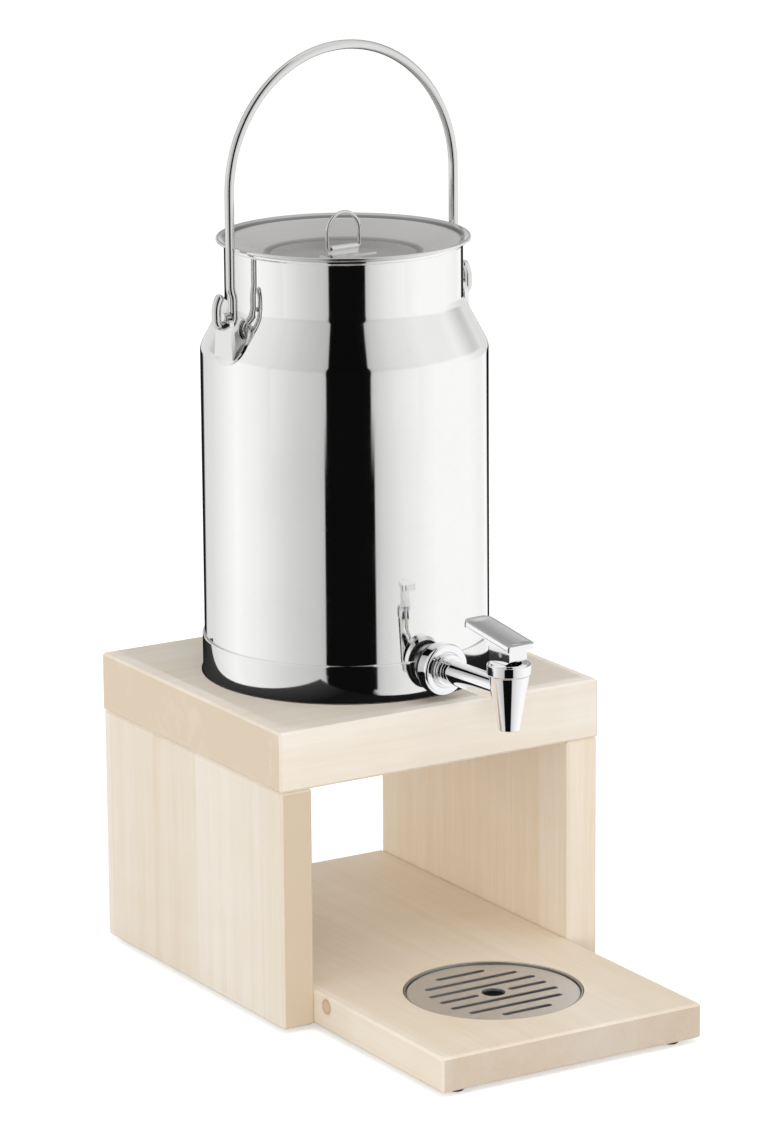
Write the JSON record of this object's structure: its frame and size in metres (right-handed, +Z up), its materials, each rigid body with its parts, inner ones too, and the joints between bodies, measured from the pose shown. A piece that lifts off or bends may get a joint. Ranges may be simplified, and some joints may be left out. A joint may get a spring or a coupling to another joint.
{
  "type": "milk dispenser",
  "caption": "A polished steel milk can with a wire handle, lid and chromed lever tap, standing on a pale wooden stand with a round drip tray under its spout.",
  "frame": {"origin": "on the floor under the middle of the whole object, in the plane of the feet's undersides", "axes": "+Z is up, -Y is the front where the tap and the drip tray are, +X is to the right as seen from the front"},
  "size_m": [0.22, 0.355, 0.5617],
  "materials": {
    "maple": "fine sanded and matt oiled",
    "dowel_wood": "plain turned beech",
    "mirror_steel": "stainless steel polished to a mirror",
    "satin_steel": "stainless steel, satin",
    "chrome_wire": "polished stainless wire",
    "chrome_brass": "bright chrome plating",
    "spring_steel": "drawn stainless spring wire",
    "black_rubber": "matt moulded rubber",
    "clear_silicone": "translucent silicone"
  },
  "bodies": {
    "stand": {"top_board": "maple", "left_panel": "maple", "right_panel": "maple", "base_shelf": "maple", "top_dowels": "dowel_wood", "shelf_dowels": "dowel_wood", "feet": "black_rubber"},
    "tray": {"drip_tray": "satin_steel"},
    "grille": {"drip_grille": "satin_steel"},
    "can": {"can_body": "mirror_steel", "foot_hoop": "mirror_steel", "tap_socket": "satin_steel", "left_ear": "mirror_steel", "right_ear": "mirror_steel", "outer_washer": "black_rubber", "coupling_nut": "chrome_brass", "tap_body": "chrome_brass", "inner_washer": "black_rubber", "lock_nut": "chrome_brass", "bonnet": "chrome_brass"},
    "carrier": {"handle": "chrome_wire"},
    "lid": {"lid_dish": "satin_steel", "lid_plug": "satin_steel", "lid_seal": "clear_silicone", "lid_clip": "satin_steel"},
    "pull": {"lid_ring": "chrome_wire"},
    "valve": {"spindle": "satin_steel", "valve_seal": "black_rubber", "valve_spring": "spring_steel", "lever_pin": "satin_steel"},
    "tap_lever": {"lever": "chrome_brass"}
  },
  "joints": [
    {"name": "tray_lift", "type": "slide", "parent": "stand", "child": "tray", "axis": [0, 0, 1], "range_m": [0, 0.04]},
    {"name": "grille_lift", "type": "slide", "parent": "tray", "child": "grille", "axis": [0, 0, 1], "range_m": [0, 0.03]},
    {"name": "can_lift", "type": "slide", "parent": "stand", "child": "can", "axis": [0, 0, 1], "range_m": [0, 0.06]},
    {"name": "handle_swing", "type": "hinge", "parent": "can", "child": "carrier", "pos_m": [0, 0.07, 0.402], "axis": [0.9976, 0.0698, 0], "range_deg": [-92, 92]},
    {"name": "lid_lift", "type": "slide", "parent": "can", "child": "lid", "axis": [0, 0, 1], "range_m": [0, 0.024]},
    {"name": "ring_swing", "type": "hinge", "parent": "lid", "child": "pull", "pos_m": [0, 0.07, 0.43855], "axis": [0.9976, 0.0698, 0], "range_deg": [-88, 88]},
    {"name": "spindle_lift", "type": "slide", "parent": "can", "child": "valve", "axis": [0, 0, 1], "range_m": [0, 0.0025], "deforming": ["valve_spring"]},
    {"name": "lever_swing", "type": "hinge", "parent": "valve", "child": "tap_lever", "pos_m": [0.01133, -0.0921, 0.2255], "axis": [0.9976, 0.0698, 0], "range_deg": [0, 40]}
  ],
  "couplings": [
    {"joint": "spindle_lift", "follows": "lever_swing", "m_per_rad": 0.003581}
  ]
}
